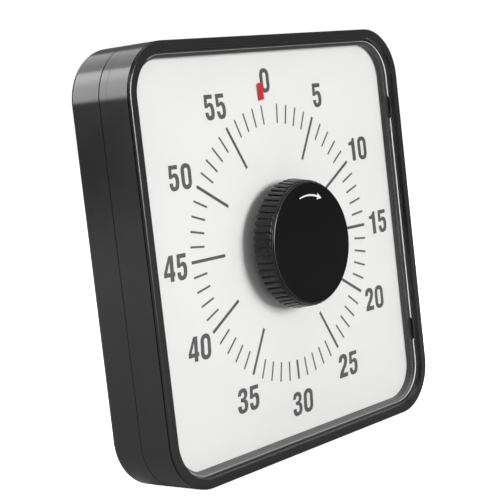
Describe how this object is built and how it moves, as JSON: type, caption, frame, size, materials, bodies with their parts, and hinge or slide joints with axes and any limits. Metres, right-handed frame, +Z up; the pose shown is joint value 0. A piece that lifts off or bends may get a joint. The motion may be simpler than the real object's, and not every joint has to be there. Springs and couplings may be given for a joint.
{
  "type": "visual countdown timer",
  "caption": "Square black wind-up visual timer with a white minute dial under a clear lens, a red rotating time disc and a large ribbed centre knob.",
  "frame": {"origin": "on the flat base of the case, under the middle of its width and of its depth without the knob", "axes": "+Z up, dial and knob face -Y, +X to the viewer's right"},
  "size_m": [0.19, 0.046, 0.19],
  "materials": {
    "case_plastic": "satin black moulded plastic, fine texture",
    "knob_plastic": "satin black moulded plastic",
    "cap_plastic": "smooth black plastic",
    "hub_plastic": "black plastic",
    "lens_clear": "clear acrylic",
    "dial_white": "white printed sheet",
    "disc_red": "red translucent film",
    "chassis_grey": "dark grey moulded plastic",
    "magnet": "nickel plated",
    "steel": "zinc plated or bright steel",
    "spring_steel": "blued spring steel",
    "bell_steel": "plated bell steel",
    "brass": "stamped brass",
    "cam_nylon": "natural nylon"
  },
  "bodies": {
    "case": {"front_case": "case_plastic", "rear_case": "case_plastic", "lens": "lens_clear", "dial": "dial_white", "chassis": "chassis_grey", "magnets": "magnet", "case_screws": "steel", "chassis_screws": "steel", "movement_screws": "steel", "front_plate": "brass", "rear_plate": "brass", "pillars": "steel", "pillar_screws": "steel", "spring_barrel": "steel", "mainspring": "spring_steel", "bell": "bell_steel", "bell_post": "steel", "bell_screw": "steel", "hammer_spring": "spring_steel"},
    "knob": {"knob_skirt": "knob_plastic", "knob_cap": "cap_plastic", "knob_screw": "steel", "main_arbor": "steel", "main_wheel": "brass", "clutch_washer": "steel", "alarm_cam": "cam_nylon"},
    "disc": {"time_disc": "disc_red", "disc_hub": "hub_plastic"},
    "second": {"second_wheel": "brass", "second_pinion": "steel", "second_arbor": "steel"},
    "third": {"third_wheel": "brass", "third_pinion": "steel", "third_arbor": "steel"},
    "escape": {"escape_wheel": "brass", "escape_pinion": "steel", "escape_arbor": "steel"},
    "pallet": {"pallet_lever": "steel", "balance": "brass", "pallet_arbor": "steel"},
    "hammer": {"hammer_arm": "steel", "hammer_head": "steel", "hammer_arbor": "steel"},
    "release": {"release_lever": "steel", "release_arbor": "steel"}
  },
  "joints": [
    {"name": "knob_turn", "type": "hinge", "parent": "case", "child": "knob", "pos_m": [0, 0, 0.095], "axis": [0, 1, 0], "range_deg": [0, 361.6]},
    {"name": "disc_rise", "type": "slide", "parent": "knob", "child": "disc", "axis": [0, -1, 0], "range_m": [0, 0.00171]},
    {"name": "second_turn", "type": "hinge", "parent": "case", "child": "second", "pos_m": [0.0126, 0, 0.07318], "axis": [0, 1, 0], "range_deg": [-2170.6, 1]},
    {"name": "third_turn", "type": "hinge", "parent": "case", "child": "third", "pos_m": [0.02874, 0, 0.07176], "axis": [0, 1, 0], "range_deg": [-1, 10849]},
    {"name": "escape_turn", "type": "hinge", "parent": "case", "child": "escape", "pos_m": [0.03184, 0, 0.08336], "axis": [0, 1, 0], "range_deg": [-43393, 1]},
    {"name": "pallet_rock", "type": "hinge", "parent": "case", "child": "pallet", "pos_m": [0.03184, 0, 0.09436], "axis": [0, 1, 0], "range_deg": [-5, 5]},
    {"name": "hammer_swing", "type": "hinge", "parent": "case", "child": "hammer", "pos_m": [-0.029, 0, 0.068], "axis": [0, 1, 0], "range_deg": [-2.4, 12], "stiffness_Nm_per_rad": 0.02},
    {"name": "release_swing", "type": "hinge", "parent": "case", "child": "release", "pos_m": [-0.02, 0, 0.109], "axis": [0, 1, 0], "range_deg": [-3, 5], "stiffness_Nm_per_rad": 0.02}
  ],
  "couplings": [
    {"joint": "disc_rise", "follows": "knob_turn", "m_per_rad": 0.00027056},
    {"joint": "second_turn", "follows": "knob_turn", "ratio": -6},
    {"joint": "third_turn", "follows": "knob_turn", "ratio": 30},
    {"joint": "escape_turn", "follows": "knob_turn", "ratio": -120}
  ]
}
